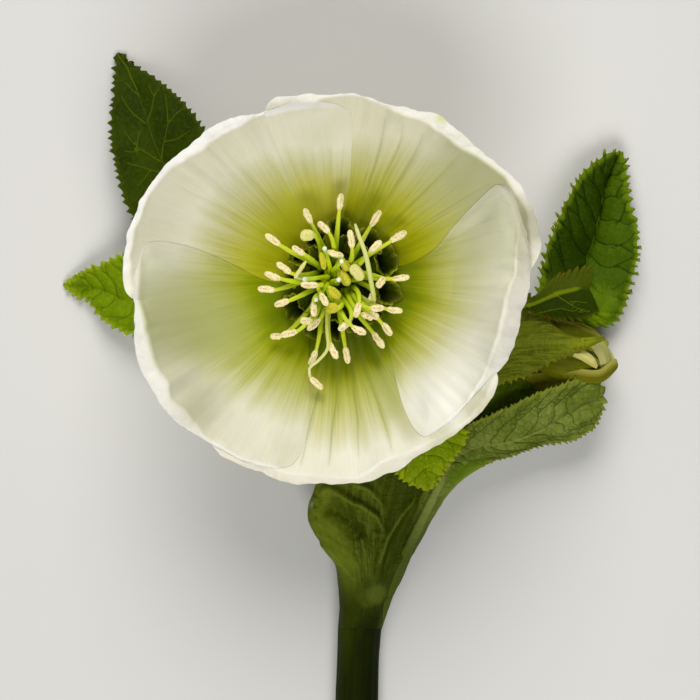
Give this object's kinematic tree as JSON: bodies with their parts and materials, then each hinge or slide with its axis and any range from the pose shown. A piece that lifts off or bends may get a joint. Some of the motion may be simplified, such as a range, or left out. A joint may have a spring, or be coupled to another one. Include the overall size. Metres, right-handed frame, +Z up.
{
  "type": "hellebore flower",
  "caption": "Cut hellebore stem lying on a surface: open cream flower with green heart, stamens and nectaries, leafy toothed bracts and a side bud.",
  "frame": {"origin": "on the surface the stem lies on, under the middle of the part's bounding box", "axes": "+Z up from the surface through the face of the flower, +Y along the stem from its cut end towards the flower, +X to the right towards the bud"},
  "size_m": [0.1022, 0.165, 0.036],
  "materials": {
    "sepal": "soft satin, fine veins, olive green heart",
    "nectary": "waxy",
    "stamen": "matte",
    "carpel": "satin",
    "leaf": "leathery satin with sunk veins",
    "bud": "satin",
    "bud_pale": "satin",
    "stem": "satin with fine ridges"
  },
  "bodies": {
    "root": {"sepal_left": "sepal", "sepal_upper_left": "sepal", "sepal_upper_right": "sepal", "sepal_right": "sepal", "sepal_bottom": "sepal", "nectary_01": "nectary", "nectary_02": "nectary", "nectary_03": "nectary", "nectary_04": "nectary", "nectary_05": "nectary", "nectary_06": "nectary", "nectary_07": "nectary", "nectary_08": "nectary", "nectary_09": "nectary", "nectary_10": "nectary", "nectary_11": "nectary", "nectary_12": "nectary", "stamens_row_01": "stamen", "stamens_row_02": "stamen", "stamens_row_03": "stamen", "stamens_row_04": "stamen", "stamens_row_05": "stamen", "stamens_row_06": "stamen", "stamens_row_07": "stamen", "stamens_row_08": "stamen", "stamens_row_09": "stamen", "stamens_row_10": "stamen", "stamens_row_11": "stamen", "stamens_row_12": "stamen", "stamens_row_13": "stamen", "carpel_1": "carpel", "carpel_2": "carpel", "carpel_3": "carpel", "carpel_4": "carpel", "carpel_5": "carpel", "bract_upper_left": "leaf", "bract_left": "leaf", "bract_right": "leaf", "bract_small_folded": "leaf", "bract_over_bud": "leaf", "bract_behind_bud": "leaf", "bract_lower_right": "leaf", "bract_lower_lobe": "leaf", "bract_clasping": "leaf", "bud_sepal_upper": "bud", "bud_sepal_lower": "bud", "bud_sepal_under": "bud", "bud_inner_sepals": "bud_pale", "stem": "stem"}
  },
  "joints": []
}
